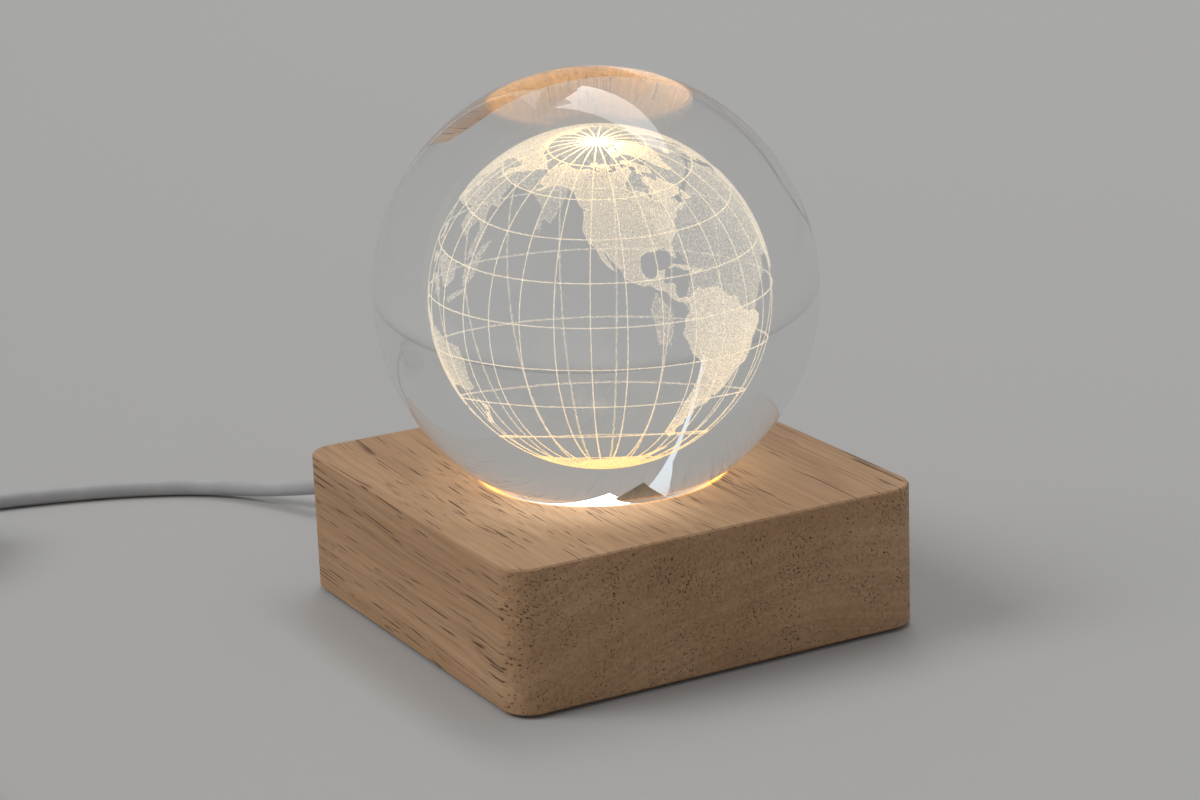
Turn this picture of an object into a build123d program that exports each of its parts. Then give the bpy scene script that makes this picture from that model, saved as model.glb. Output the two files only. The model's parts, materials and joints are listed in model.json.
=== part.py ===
from build123d import *
import os
from math import acos, cos, degrees, dist, pi, radians, sin, sqrt, tan

os.makedirs("parts", exist_ok=True)

# A glass ball lamp. A clear glass ball with a globe engraved inside it rests in a round
# recess in a block of pale wood. A ring of small lamps in the floor of the recess lights
# the engraving from below, and a thin cord with a switch and a plug feeds them.
# All sizes are in millimetres and Z is up. The origin lies on the table, under the
# middle of the block. X runs along the grain, and the cord leaves on the -X side.

# Block of wood
block_length = 84.0
block_width = 82.0
block_height = 26.1
corner_radius = 5.5
top_chamfer = 0.3
bottom_chamfer = 0.4

# Feet, let into the underside
foot_diameter = 10.0
foot_thickness = 1.0
foot_seat_depth = 0.4
foot_inset = 9.0
foot_chamfer = 0.2

# Ball and the recess that holds it
ball_diameter = 80.0
ball_sink = 6.74
seat_gap = 0.3
rim_round = 0.5
recess_depth = 9.0

# Round well under the board, for the wires
well_diameter = 30.0
well_depth = 9.0

# Board in the recess, and its screws
board_clearance = 0.8
board_thickness = 1.6
board_screw_circle = 37.5
board_screw_count = 3
board_screw_angle = 22.0
board_screw_diameter = 2.0
board_screw_head = 3.6
board_screw_head_height = 1.2
board_screw_grip = 5.0
board_screw_play = 0.1
screw_clearance = 0.02

# Lamps of the ring, one flat package each
led_count = 7
led_ring_radius = 13.4
led_first_angle = -4.0
led_length = 3.5
led_width = 2.8
led_height = 0.8
led_window_diameter = 2.2
led_window_depth = 0.15
resistor_length = 3.2
resistor_width = 1.6
resistor_height = 0.55
resistor_ring_radius = 9.8

# Cord, the tie that stops it inside the block, and its wires
cord_diameter = 3.2
cord_height = 12.5
cord_hole_clearance = 0.15
cord_inner_end = 11.0
cord_hidden_end = 38.0
wire_diameter = 1.2
wire_pitch = 1.5
wire_spread = 3.0
wire_reach = 6.0
tie_width = 2.5
tie_thickness = 1.0
tie_head = 3.0
tie_setback = 0.4

# Put away coil of the cord
coil_x = -102.0
coil_y = -118.0
coil_inner_radius = 13.4
turn_pitch = 4.3
layer_pitch = 3.85
spiral_turns = 2.5
climb_turns = 0.5
coil_layers = 4
coil_sides = 8
last_layer_turns = 2.25
coil_strap_width = 4.0
coil_strap_thickness = 0.4
coil_strap_clearance = 0.1
coil_strap_side_clearance = 0.3
table_gap = 0.05

# Switch in the cord
switch_start = -60.0
switch_reach = 4.0
switch_length = 34.0
switch_width = 14.0
switch_height = 11.0
switch_split = 5.5
switch_wall = 1.4
switch_round = 2.0
switch_gap = 0.1
switch_relief_length = 3.5
switch_relief_root = 6.2
switch_relief_tip = 4.6
button_diameter = 7.0
button_clearance = 0.3
button_proud = 1.8
button_travel = 1.2
button_flange = 9.0
button_flange_height = 1.0
button_stem = 1.2
contact_block = 8.0

# Plug
plug_tip = 42.0
plug_relief_length = 8.0
plug_relief_diameter = 5.4
plug_relief_tip = 4.2
plug_relief_rings = 3
plug_body_length = 19.0
plug_body_width = 15.4
plug_body_height = 7.6
plug_body_round = 1.6
shell_width = 12.0
shell_height = 4.5
shell_wall = 0.3
shell_length = 11.8
shell_root = 6.0
window_size = 2.3
window_spacing = 5.2
window_setback = 3.6
tongue_thickness = 1.9
tongue_setback = 0.5
contact_width = 1.0
contact_thickness = 0.2

# Levels and radii that follow
ball_radius = ball_diameter / 2
block_bottom = foot_thickness - foot_seat_depth
block_top = block_bottom + block_height
ball_centre = block_top - ball_sink + ball_radius
recess_floor = block_top - recess_depth
rim_reach = ball_radius + seat_gap + rim_round
recess_radius = sqrt(rim_reach**2 - (ball_centre - block_top + rim_round) ** 2) - rim_round
well_radius = well_diameter / 2
well_floor = recess_floor - well_depth
board_top = recess_floor + board_thickness
cord_radius = cord_diameter / 2
cord_hole_radius = cord_radius + cord_hole_clearance
cord_exit = -block_length / 2
table_level = cord_radius + table_gap
coil_level = coil_strap_thickness + coil_strap_clearance + cord_radius


def save(piece, name):
    """Name a finished piece and write it to its own file."""
    piece.part.label = name
    export_step(piece.part, f"parts/{name}.step")


def circle_edges(piece, radius, level):
    """Edges of a given radius whose centre lies at a given height."""
    round_edges = piece.edges().filter_by(GeomType.CIRCLE)
    return round_edges.filter_by(
        lambda edge: abs(edge.radius - radius) < 1e-3 and abs(edge.arc_center.Z - level) < 1e-3
    )


# The block: a rounded slab with the round recess, the well in its floor and the cord's hole
with BuildPart() as wooden_base:
    with BuildSketch(Plane.XY.offset(block_bottom)):
        RectangleRounded(block_length, block_width, corner_radius)
    extrude(amount=block_height)
    chamfer(wooden_base.faces().sort_by(Axis.Z)[-1].edges(), top_chamfer)
    chamfer(wooden_base.faces().sort_by(Axis.Z)[0].edges(), bottom_chamfer)
    with BuildSketch(Plane.XY.offset(block_top)):
        Circle(recess_radius)
    extrude(amount=-recess_depth, mode=Mode.SUBTRACT)
    fillet(circle_edges(wooden_base, recess_radius, block_top), rim_round)
    with BuildSketch(Plane.XY.offset(recess_floor)):
        Circle(well_radius)
    extrude(amount=-well_depth, mode=Mode.SUBTRACT)
    with BuildSketch(Plane.XY.offset(recess_floor)):
        with PolarLocations(board_screw_circle / 2, board_screw_count, board_screw_angle):
            Circle(board_screw_diameter / 2 + screw_clearance)
    extrude(amount=-board_screw_grip - screw_clearance, mode=Mode.SUBTRACT)
    with BuildSketch(Plane.YZ.offset(cord_exit)):
        with Locations((0, cord_height)):
            Circle(cord_hole_radius)
    extrude(amount=block_length / 2 - well_radius + 1, mode=Mode.SUBTRACT)
    with BuildSketch(Plane.XY.offset(block_bottom)):
        with GridLocations(block_length - 2 * foot_inset, block_width - 2 * foot_inset, 2, 2):
            Circle(foot_diameter / 2)
    extrude(amount=foot_seat_depth, mode=Mode.SUBTRACT)
save(wooden_base, "wooden_base")

# The ball
with BuildPart() as crystal_ball:
    with BuildSketch(Plane.XZ.offset(0)):
        with BuildLine():
            CenterArc((0, ball_centre), ball_radius, -90, 180)
            Line((0, ball_centre + ball_radius), (0, ball_centre - ball_radius))
        make_face()
    revolve(axis=Axis.Z)
save(crystal_ball, "crystal_ball")

# Round pads under the corners
foot_number = 0
for foot_x in (-1, 1):
    for foot_y in (-1, 1):
        foot_number += 1
        foot_place = (
            foot_x * (block_length / 2 - foot_inset),
            foot_y * (block_width / 2 - foot_inset),
        )
        with BuildPart() as foot:
            with BuildSketch(Plane.XY):
                with Locations(foot_place):
                    Circle(foot_diameter / 2)
            extrude(amount=foot_thickness)
            chamfer(circle_edges(foot, foot_diameter / 2, 0), foot_chamfer)
        save(foot, f"foot_{foot_number}")

# The round board on the floor of the recess, over the well
with BuildPart() as led_board:
    with BuildSketch(Plane.XY.offset(recess_floor)):
        Circle(recess_radius - board_clearance)
        with PolarLocations(board_screw_circle / 2, board_screw_count, board_screw_angle):
            Circle(board_screw_diameter / 2 + board_screw_play, mode=Mode.SUBTRACT)
    extrude(amount=board_thickness)
save(led_board, "led_board")

# Lamps: flat packages with a round window, one edge turned to the middle of the ring
for number in range(led_count):
    led_angle = led_first_angle + number * 360 / led_count
    with BuildPart() as led:
        with BuildSketch(Plane.XY.offset(board_top)):
            with PolarLocations(led_ring_radius, 1, led_angle):
                Rectangle(led_width, led_length)
        extrude(amount=led_height)
        with BuildSketch(Plane.XY.offset(board_top + led_height)):
            with PolarLocations(led_ring_radius, 1, led_angle):
                Circle(led_window_diameter / 2)
        extrude(amount=-led_window_depth, mode=Mode.SUBTRACT)
    save(led, f"led_{number + 1}")

# One small resistor for each lamp, under the board
with BuildPart() as resistors:
    with BuildSketch(Plane.XY.offset(recess_floor)):
        with PolarLocations(resistor_ring_radius, led_count, led_first_angle):
            Rectangle(resistor_width, resistor_length)
    extrude(amount=-resistor_height)
save(resistors, "resistors")

# Pan head screws of the board
screw_head_top = board_top + board_screw_head_height
with BuildPart() as board_screws:
    with BuildSketch(Plane.XY.offset(board_top)):
        with PolarLocations(board_screw_circle / 2, board_screw_count, board_screw_angle):
            Circle(board_screw_head / 2)
    extrude(amount=board_screw_head_height)
    chamfer(circle_edges(board_screws, board_screw_head / 2, screw_head_top), board_screw_head_height / 3)
    with BuildSketch(Plane.XY.offset(board_top)):
        with PolarLocations(board_screw_circle / 2, board_screw_count, board_screw_angle):
            Circle(board_screw_diameter / 2)
    extrude(amount=-board_thickness - board_screw_grip)
save(board_screws, "board_screws")

# The cord inside the block, and the tie round it that stops it from pulling out
with BuildPart() as cord_entry:
    with BuildSketch(Plane.YZ.offset(-cord_hidden_end)):
        with Locations((0, cord_height)):
            Circle(cord_radius)
    extrude(amount=cord_hidden_end - cord_inner_end)
save(cord_entry, "cord_entry")

with BuildPart() as cord_tie:
    with BuildSketch(Plane.YZ.offset(-well_radius + tie_setback)):
        with Locations((0, cord_height)):
            Circle(cord_radius + tie_thickness)
        with Locations((0, cord_height + cord_radius + tie_head / 2)):
            RectangleRounded(tie_head, tie_head, tie_head / 8)
        with Locations((0, cord_height)):
            Circle(cord_radius, mode=Mode.SUBTRACT)
    extrude(amount=tie_width)
save(cord_tie, "cord_tie")


def bend_radii(points):
    """Radius at each corner of a route: 0.45 of its shorter run over the tangent of half its turn."""
    radii = []
    for before, corner, after in zip(points, points[1:], points[2:]):
        run_in = Vector(*corner) - Vector(*before)
        run_out = Vector(*after) - Vector(*corner)
        half_turn = radians(run_in.get_angle(run_out) / 2)
        radii.append(0.45 * min(run_in.length, run_out.length) / tan(half_turn))
    return radii


def tube(name, points, radius):
    """A round tube along straight runs joined by tangent arcs."""
    radii = bend_radii(points)
    with BuildPart() as piece:
        with BuildLine():
            route = FilletPolyline(*points, radius=radii)
        with BuildSketch(Plane(origin=route @ 0, z_dir=route % 0)):
            Circle(radius)
        sweep(path=route)
    volume = pi * radius**2 * route.length
    print(name, "length", round(route.length, 1), "bends", [round(bend, 1) for bend in radii],
          "volume over section times length", round(piece.part.volume / volume, 4))
    save(piece, name)
    return route.length


for name, side in (("wire_positive", 1), ("wire_negative", -1)):
    wire_start = -cord_inner_end
    wire_rise = recess_floor - cord_height
    tube(
        name,
        [
            (wire_start, side * wire_pitch / 2, cord_height),
            (wire_start + 0.4 * wire_reach, side * wire_pitch / 2, cord_height),
            (wire_start + 0.85 * wire_reach, side * 0.4 * wire_spread, cord_height + 0.2 * wire_rise),
            (wire_start + wire_reach, side * wire_spread / 2, cord_height + 0.6 * wire_rise),
            (wire_start + wire_reach, side * wire_spread / 2, recess_floor),
        ],
        wire_diameter / 2,
    )

# The free cord: it leaves the block level, sinks to the table and bends away to the coil
coil_outer_radius = coil_inner_radius + turn_pitch * spiral_turns
lead_length = tube(
    "cord_lead",
    [
        (-cord_hidden_end, 0, cord_height),
        (cord_exit - 14, 0, cord_height),
        (-73.5, -17.5, 7.0),
        (-92, -27.5, 2.7),
        (-104, -35.5, table_level),
        (-113, -50, table_level),
        (-119, -67, table_level),
        (-123.5, -86, table_level),
        (coil_x - coil_outer_radius, coil_y + 15, coil_level),
        (coil_x - coil_outer_radius, coil_y, coil_level),
    ],
    cord_radius,
)


def coil_point(turns):
    """Centre of the coiled cord after a number of turns, counted from its start on the table."""
    layer_turns = spiral_turns + climb_turns
    layer = min(int(turns / layer_turns), coil_layers - 1)
    into_layer = turns - layer * layer_turns
    spiral = turn_pitch * min(into_layer, spiral_turns)
    radius = coil_outer_radius - spiral if layer % 2 == 0 else coil_inner_radius + spiral
    climb = min(max(into_layer - spiral_turns, 0) / climb_turns, 1)
    level = coil_level + layer_pitch * (layer + climb * climb * (3 - 2 * climb))
    angle = pi + 2 * pi * turns
    return Vector(coil_x + radius * cos(angle), coil_y + radius * sin(angle), level)


def coil_heading(turns):
    """Direction of the coiled cord there."""
    step = 0.02
    return (coil_point(turns + step) - coil_point(turns - step)).normalized()


def biarc(start, start_heading, end, end_heading):
    """Two tangent arcs from one point and heading to another."""
    chord = end - start
    spread = 1 - start_heading.dot(end_heading)
    along = chord.dot(start_heading + end_heading)
    reach = (sqrt(along**2 + 2 * spread * chord.dot(chord)) - along) / (2 * spread)
    middle = (start + start_heading * reach + end - end_heading * reach) / 2
    first = TangentArc(start, middle, tangent=start_heading)
    TangentArc(middle, end, tangent=first % 1)


coil_turns = (coil_layers - 1) * (spiral_turns + climb_turns) + last_layer_turns
quarter_turns = round(4 * coil_turns)
stations = [(coil_point(quarter / 4), coil_heading(quarter / 4)) for quarter in range(quarter_turns + 1)]
stations[0] = (stations[0][0], Vector(0, -1, 0))
stations[-1] = (stations[-1][0], Vector(1, 0, 0))
with BuildPart() as cord_coil:
    with BuildLine() as coil_line:
        for (start, start_heading), (end, end_heading) in zip(stations, stations[1:]):
            biarc(start, start_heading, end, end_heading)
    coil_wire = coil_line.wire()
    with BuildSketch(Plane(origin=coil_wire @ 0, z_dir=coil_wire % 0)) as coil_section:
        RegularPolygon(cord_radius, coil_sides, rotation=180 / coil_sides)
    sweep(path=coil_wire)
save(cord_coil, "cord_coil")

coil_length = coil_wire.length
sample_count = round(coil_length)
samples = [tuple(coil_wire @ (index / sample_count)) for index in range(sample_count + 1)]
skip = round(3 * cord_diameter)
least = min(
    dist(samples[one], samples[other])
    for one in range(sample_count + 1)
    for other in range(one + skip, sample_count + 1)
)
print("cord_coil length", round(coil_length, 1), "turns", coil_turns, "least self gap",
      round(least - cord_diameter, 2), "volume over section times length",
      round(cord_coil.part.volume / (coil_section.sketch.area * coil_length), 4))

# The strap that holds the coil together, round all its turns on one side
bundle_width = turn_pitch * spiral_turns + cord_diameter + 2 * coil_strap_side_clearance
bundle_height = layer_pitch * (coil_layers - 1) + cord_diameter + 2 * coil_strap_clearance
bundle_y = coil_y + (coil_inner_radius + coil_outer_radius) / 2
bundle_z = coil_strap_thickness + bundle_height / 2
with BuildPart() as coil_strap:
    with BuildSketch(Plane.YZ.offset(coil_x - coil_strap_width / 2)):
        with Locations((bundle_y, bundle_z)):
            RectangleRounded(
                bundle_width + 2 * coil_strap_thickness,
                bundle_height + 2 * coil_strap_thickness,
                cord_radius + coil_strap_thickness,
            )
            RectangleRounded(bundle_width, bundle_height, cord_radius, mode=Mode.SUBTRACT)
    extrude(amount=coil_strap_width)
save(coil_strap, "coil_strap")

# From the top of the coil down to the switch, and from the switch to the plug
coil_end = stations[-1][0]
row_y = coil_end.Y
switch_end = switch_start + switch_length
plug_axis = plug_body_height / 2
plug_start = plug_tip - shell_length - plug_body_length - plug_relief_length
tail_length = tube(
    "cord_tail",
    [
        tuple(coil_end),
        (coil_end.X + 12, row_y, coil_end.Z),
        (coil_end.X + 26, row_y - 0.5, switch_split + 3.1),
        (switch_start - 6, row_y, switch_split),
        (switch_start + switch_reach, row_y, switch_split),
    ],
    cord_radius,
)
end_length = tube(
    "cord_end",
    [
        (switch_end - switch_reach, row_y, switch_split),
        (switch_end + switch_reach, row_y, switch_split),
        (plug_start - 2 * cord_diameter, row_y, plug_axis),
        (plug_start, row_y, plug_axis),
    ],
    cord_radius,
)
print("whole cord", round(lead_length + coil_length + tail_length + end_length))

# The switch: two half housings with a tapered relief at each end, a contact block and a button
switch_centre = (switch_start + switch_end) / 2
switch_top = switch_height


def half_reliefs(half):
    """Half cones round the cord at both ends of the switch: half is 1 above the split, -1 below."""
    with BuildPart() as cones:
        for end, way in ((switch_start, -1), (switch_end, 1)):
            with BuildSketch(Plane.XY.offset(switch_split)):
                with BuildLine():
                    Polyline(
                        (end - way * switch_wall / 2, row_y),
                        (end - way * switch_wall / 2, row_y + switch_relief_root / 2),
                        (end, row_y + switch_relief_root / 2),
                        (end + way * switch_relief_length, row_y + switch_relief_tip / 2),
                        (end + way * switch_relief_length, row_y),
                        close=True,
                    )
                make_face()
            revolve(axis=Axis((end, row_y, switch_split), (half, 0, 0)), revolution_arc=180)
    return cones.part


with BuildPart() as switch_lower:
    with BuildSketch(Plane.XY):
        with Locations((switch_centre, row_y)):
            RectangleRounded(switch_length, switch_width, 3 * switch_round / 2)
    extrude(amount=switch_split)
    fillet(switch_lower.faces().sort_by(Axis.Z)[0].edges(), switch_round / 2)
    with BuildSketch(Plane.XY.offset(switch_wall)):
        with Locations((switch_centre, row_y)):
            RectangleRounded(
                switch_length - 2 * switch_wall, switch_width - 2 * switch_wall, switch_round
            )
    extrude(amount=switch_split - switch_wall, mode=Mode.SUBTRACT)
    add(half_reliefs(-1))
    with BuildSketch(Plane.YZ.offset(switch_start - switch_relief_length)):
        with Locations((row_y, switch_split)):
            Circle(cord_radius + switch_gap)
    extrude(amount=switch_length + 2 * switch_relief_length, mode=Mode.SUBTRACT)
save(switch_lower, "switch_lower")

with BuildPart() as switch_upper:
    with BuildSketch(Plane.XY.offset(switch_split)):
        with Locations((switch_centre, row_y)):
            RectangleRounded(switch_length, switch_width, 3 * switch_round / 2)
    extrude(amount=switch_top - switch_split)
    fillet(switch_upper.faces().sort_by(Axis.Z)[-1].edges(), switch_round)
    with BuildSketch(Plane.XY.offset(switch_split)):
        with Locations((switch_centre, row_y)):
            RectangleRounded(
                switch_length - 2 * switch_wall, switch_width - 2 * switch_wall, switch_round
            )
    extrude(amount=switch_top - switch_wall - switch_split, mode=Mode.SUBTRACT)
    with BuildSketch(Plane.XY.offset(switch_top)):
        with Locations((switch_centre, row_y)):
            Circle(button_diameter / 2 + button_clearance)
    extrude(amount=-switch_wall, mode=Mode.SUBTRACT)
    add(half_reliefs(1))
    with BuildSketch(Plane.YZ.offset(switch_start - switch_relief_length)):
        with Locations((row_y, switch_split)):
            Circle(cord_radius + switch_gap)
    extrude(amount=switch_length + 2 * switch_relief_length, mode=Mode.SUBTRACT)
save(switch_upper, "switch_upper")

flange_top = switch_top - switch_wall - button_clearance
flange_bottom = flange_top - button_flange_height
stem_bottom = flange_bottom - button_stem
with BuildPart() as switch_button:
    with BuildSketch(Plane.XY.offset(flange_bottom)):
        with Locations((switch_centre, row_y)):
            Circle(button_flange / 2)
    extrude(amount=button_flange_height)
    with BuildSketch(Plane.XY.offset(stem_bottom)):
        with Locations((switch_centre, row_y)):
            Circle(button_diameter / 2)
    extrude(amount=switch_top + button_proud - stem_bottom)
    fillet(circle_edges(switch_button, button_diameter / 2, switch_top + button_proud), 0.8)
save(switch_button, "switch_button")

with BuildPart() as switch_contacts:
    with BuildSketch(Plane.XY.offset(switch_wall)):
        with Locations((switch_centre, row_y)):
            RectangleRounded(contact_block, contact_block, 0.5)
    extrude(amount=stem_bottom - button_travel - button_clearance - switch_wall)
save(switch_contacts, "switch_contacts")

# The plug: a moulded grip with a ringed relief, the metal shell, its tongue and contacts
relief_end = plug_start + plug_relief_length
grip_end = relief_end + plug_body_length
shell_end = grip_end + shell_length
ring_pitch = plug_relief_length / (plug_relief_rings + 1)
with BuildPart() as plug_body:
    with BuildSketch(Plane.YZ.offset(relief_end)):
        with Locations((row_y, plug_axis)):
            RectangleRounded(plug_body_width, plug_body_height, plug_body_round)
    extrude(amount=plug_body_length)
    fillet(plug_body.faces().sort_by(Axis.X)[0].edges(), plug_body_round * 0.6)
    fillet(plug_body.faces().sort_by(Axis.X)[-1].edges(), plug_body_round * 0.3)
    with BuildSketch(Plane.YZ.offset(plug_start)):
        with Locations((row_y, plug_axis)):
            Circle(plug_relief_tip / 2)
    with BuildSketch(Plane.YZ.offset(relief_end + 0.5)):
        with Locations((row_y, plug_axis)):
            Circle(plug_relief_diameter / 2)
    loft()
    for ring in range(plug_relief_rings):
        ring_start = plug_start + (ring + 0.6) * ring_pitch
        share = (ring_start - plug_start) / plug_relief_length
        ring_radius = (plug_relief_tip + share * (plug_relief_diameter - plug_relief_tip)) / 2
        with BuildSketch(Plane.YZ.offset(ring_start)):
            with Locations((row_y, plug_axis)):
                Circle(ring_radius + 0.45)
        extrude(amount=ring_pitch / 2)
    with BuildSketch(Plane.YZ.offset(grip_end)):
        with Locations((row_y, plug_axis)):
            Rectangle(shell_width, shell_height)
    extrude(amount=-shell_root, mode=Mode.SUBTRACT)
save(plug_body, "plug_body")

with BuildPart() as plug_shell:
    with BuildSketch(Plane.YZ.offset(grip_end - shell_root)):
        with Locations((row_y, plug_axis)):
            RectangleRounded(shell_width, shell_height, 0.5)
            Rectangle(shell_width - 2 * shell_wall, shell_height - 2 * shell_wall, mode=Mode.SUBTRACT)
    extrude(amount=shell_root + shell_length)
    with BuildSketch(Plane.XY):
        with Locations((shell_end - window_setback - window_size / 2, row_y)):
            with GridLocations(0, window_spacing, 1, 2):
                Rectangle(window_size, window_size)
    extrude(amount=plug_body_height, mode=Mode.SUBTRACT)
save(plug_shell, "plug_shell")

tongue_top = plug_axis + shell_height / 2 - shell_wall
tongue_bottom = tongue_top - tongue_thickness
with BuildPart() as plug_tongue:
    with BuildSketch(Plane.XY.offset(tongue_bottom)):
        with Locations(((grip_end - shell_root + shell_end - tongue_setback) / 2, row_y)):
            Rectangle(shell_root + shell_length - tongue_setback, shell_width - 2 * shell_wall)
    extrude(amount=tongue_thickness)
save(plug_tongue, "plug_tongue")

contact_end = shell_end - tongue_setback - 1.2
with BuildPart() as plug_contacts:
    with BuildSketch(Plane.XY.offset(tongue_bottom)):
        for spacing, length in ((7.0, 7.4), (2.0, 6.4)):
            with Locations((contact_end - length / 2, row_y)):
                with GridLocations(0, spacing, 1, 2):
                    Rectangle(length, contact_width)
    extrude(amount=-contact_thickness)
save(plug_contacts, "plug_contacts")
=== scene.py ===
"""A glass ball lamp: a clear ball with a globe engraved inside it, on a block of pale wood.

Lengths are in metres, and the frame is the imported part's own: the origin lies on the table
under the middle of the block, X runs along the grain and the cord leaves on the -X side.
"""

import json
from math import cos, pi, radians, sin, sqrt

import bpy
import numpy as np
from mathutils import Matrix, Vector

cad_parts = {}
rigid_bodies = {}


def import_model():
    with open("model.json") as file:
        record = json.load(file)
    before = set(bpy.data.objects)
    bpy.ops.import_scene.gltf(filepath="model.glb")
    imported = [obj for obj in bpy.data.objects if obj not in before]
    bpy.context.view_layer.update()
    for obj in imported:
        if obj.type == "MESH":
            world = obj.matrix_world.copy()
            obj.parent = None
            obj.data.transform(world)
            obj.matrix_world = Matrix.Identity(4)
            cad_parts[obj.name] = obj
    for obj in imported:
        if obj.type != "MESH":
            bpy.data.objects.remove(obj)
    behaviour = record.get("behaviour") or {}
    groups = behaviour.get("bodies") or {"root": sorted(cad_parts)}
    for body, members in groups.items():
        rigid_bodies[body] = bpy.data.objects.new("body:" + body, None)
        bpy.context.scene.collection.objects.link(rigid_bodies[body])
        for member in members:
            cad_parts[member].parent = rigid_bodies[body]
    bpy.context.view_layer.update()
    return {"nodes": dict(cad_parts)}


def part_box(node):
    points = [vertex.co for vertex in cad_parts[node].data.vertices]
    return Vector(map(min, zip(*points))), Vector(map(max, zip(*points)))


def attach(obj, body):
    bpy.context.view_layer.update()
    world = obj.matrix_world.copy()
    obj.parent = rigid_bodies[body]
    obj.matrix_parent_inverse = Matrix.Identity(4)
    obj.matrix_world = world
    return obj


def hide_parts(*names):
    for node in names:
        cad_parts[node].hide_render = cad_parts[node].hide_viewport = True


for thing in list(bpy.data.objects):
    bpy.data.objects.remove(thing)
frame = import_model()
nodes = frame["nodes"]
lamps = sorted(name for name in nodes if name.startswith("led_") and name != "led_board")

MM = 0.001
BLACK = (0.0, 0.0, 0.0)
WHITE = (1.0, 1.0, 1.0)

# The ball, which starts a little smaller because it swells as it is divided
ball_low, ball_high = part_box("crystal_ball")
BALL_CENTRE = (ball_low + ball_high) / 2
BALL_RADIUS = (ball_high.x - ball_low.x) / 2
BALL_DIVISIONS = 2
BALL_SWELL = 0.022 * MM

# The globe engraved in it, and the steps of its lines in degrees
GLOBE_RADIUS = 20.53 * MM
GLOBE_CENTRE = BALL_CENTRE + Vector((1.07, 0, -0.66)) * MM
GLOBE_TURN = radians(87.3)
GLOBE_TILT = (radians(-1.44), radians(-0.68))
MERIDIAN_STEP = 15
PARALLEL_STEP = 18

# The block and its recess
BLOCK_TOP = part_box("wooden_base")[1].z
RECESS_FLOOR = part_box("led_board")[0].z
RECESS_RADIUS = 22.41 * MM
RIM_CHAMFER = 0.3 * MM

# Where the two shells of the cord's switch meet
SEAM_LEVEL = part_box("switch_upper")[0].z
SEAM_HEIGHT = 0.2 * MM


def deselect():
    """Nothing stays selected, so that the next operator acts on its own piece alone."""
    if bpy.context.object and bpy.context.object.mode != "OBJECT":
        bpy.ops.object.mode_set(mode="OBJECT")
    bpy.ops.object.select_all(action="DESELECT")


def settle(piece):
    """The piece's place goes into its mesh, and the piece sits at the origin."""
    deselect()
    piece.select_set(True)
    bpy.context.view_layer.objects.active = piece
    bpy.ops.object.transform_apply(location=True, rotation=True, scale=True)


def wear(piece, material):
    """The piece's one material slot holds this material."""
    piece.data.materials.clear()
    piece.data.materials.append(material)


# Helpers for materials

def new_material(name):
    """An empty material, its node tree and the socket that its surface goes to."""
    material = bpy.data.materials.new(name)
    material.use_nodes = True
    tree = material.node_tree
    tree.nodes.clear()
    output = tree.nodes.new("ShaderNodeOutputMaterial")
    return material, tree, output.inputs["Surface"]


def feed(tree, socket, value):
    """A socket is linked from another one or takes a plain value, a colour with or without alpha."""
    if isinstance(value, bpy.types.NodeSocket):
        tree.links.new(value, socket)
    elif socket.type == "RGBA" and len(value) == 3:
        socket.default_value = (*value, 1)
    else:
        socket.default_value = value


def node(tree, kind, **values):
    """A node, with its sockets given by their names."""
    made = tree.nodes.new(kind)
    for name, value in values.items():
        feed(tree, made.inputs[name.replace("_", " ")], value)
    return made


def principled(tree, surface, **values):
    """The usual shader, as the surface."""
    tree.links.new(node(tree, "ShaderNodeBsdfPrincipled", **values).outputs[0], surface)


def number(tree, operation, *values):
    """A number worked out from others."""
    made = tree.nodes.new("ShaderNodeMath")
    made.operation = operation
    for socket, value in zip(made.inputs, values):
        feed(tree, socket, value)
    return made.outputs[0]


def vector(tree, operation, *values):
    """A vector worked out from others, or the one number that the operation gives."""
    made = tree.nodes.new("ShaderNodeVectorMath")
    made.operation = operation
    for socket, value in zip(made.inputs, values):
        feed(tree, socket, value)
    return made.outputs["Value" if operation in ("LENGTH", "DOT_PRODUCT") else "Vector"]


def here(tree):
    """The place on the object, in metres."""
    return tree.nodes.new("ShaderNodeTexCoord").outputs["Object"]


def mapped(tree, place, scale, shift=(0, 0, 0)):
    """Places stretched along each axis, and shifted."""
    return node(tree, "ShaderNodeMapping", Vector=place, Scale=scale, Location=shift).outputs[0]


def coordinate(tree, place, axis):
    """One coordinate of a place."""
    return node(tree, "ShaderNodeSeparateXYZ", Vector=place).outputs[axis]


def noise(tree, where, scale=1.0, detail=2.0, roughness=0.5):
    """Cloudy values from 0 to 1."""
    made = node(tree, "ShaderNodeTexNoise", Vector=where, Scale=scale, Detail=detail, Roughness=roughness)
    return made.outputs["Fac"]


def ramp(tree, value, *stops):
    """A colour or grey for each value, by stops of place and colour."""
    made = node(tree, "ShaderNodeValToRGB", Fac=value)
    band = made.color_ramp
    while len(band.elements) < len(stops):
        band.elements.new(0.5)
    for element, (place, colour) in zip(band.elements, stops):
        element.position = place
        grey = isinstance(colour, (int, float))
        element.color = (colour, colour, colour, 1) if grey else (*colour, 1)
    return made.outputs["Color"]


def mixed(tree, share, one, other, blend="MIX"):
    """Two colours, mixed."""
    made = tree.nodes.new("ShaderNodeMix")
    made.data_type = "RGBA"
    made.blend_type = blend
    for index, value in ((0, share), (6, one), (7, other)):
        feed(tree, made.inputs[index], value)
    return made.outputs[2]


def times(tree, one, other):
    """One colour times another."""
    return mixed(tree, 1.0, one, other, "MULTIPLY")


def darker(colour, share):
    """A share of a colour."""
    return tuple(share * part for part in colour)


def bump(tree, height, depth, strength=0.6):
    """A surface normal that follows a height, whose full range is that many metres deep."""
    return node(tree, "ShaderNodeBump", Height=height, Distance=depth, Strength=strength).outputs[0]


def scaled(tree, value, factor, shift=0.0):
    """A value times a factor, plus a shift."""
    return number(tree, "MULTIPLY_ADD", value, factor, shift)


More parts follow.
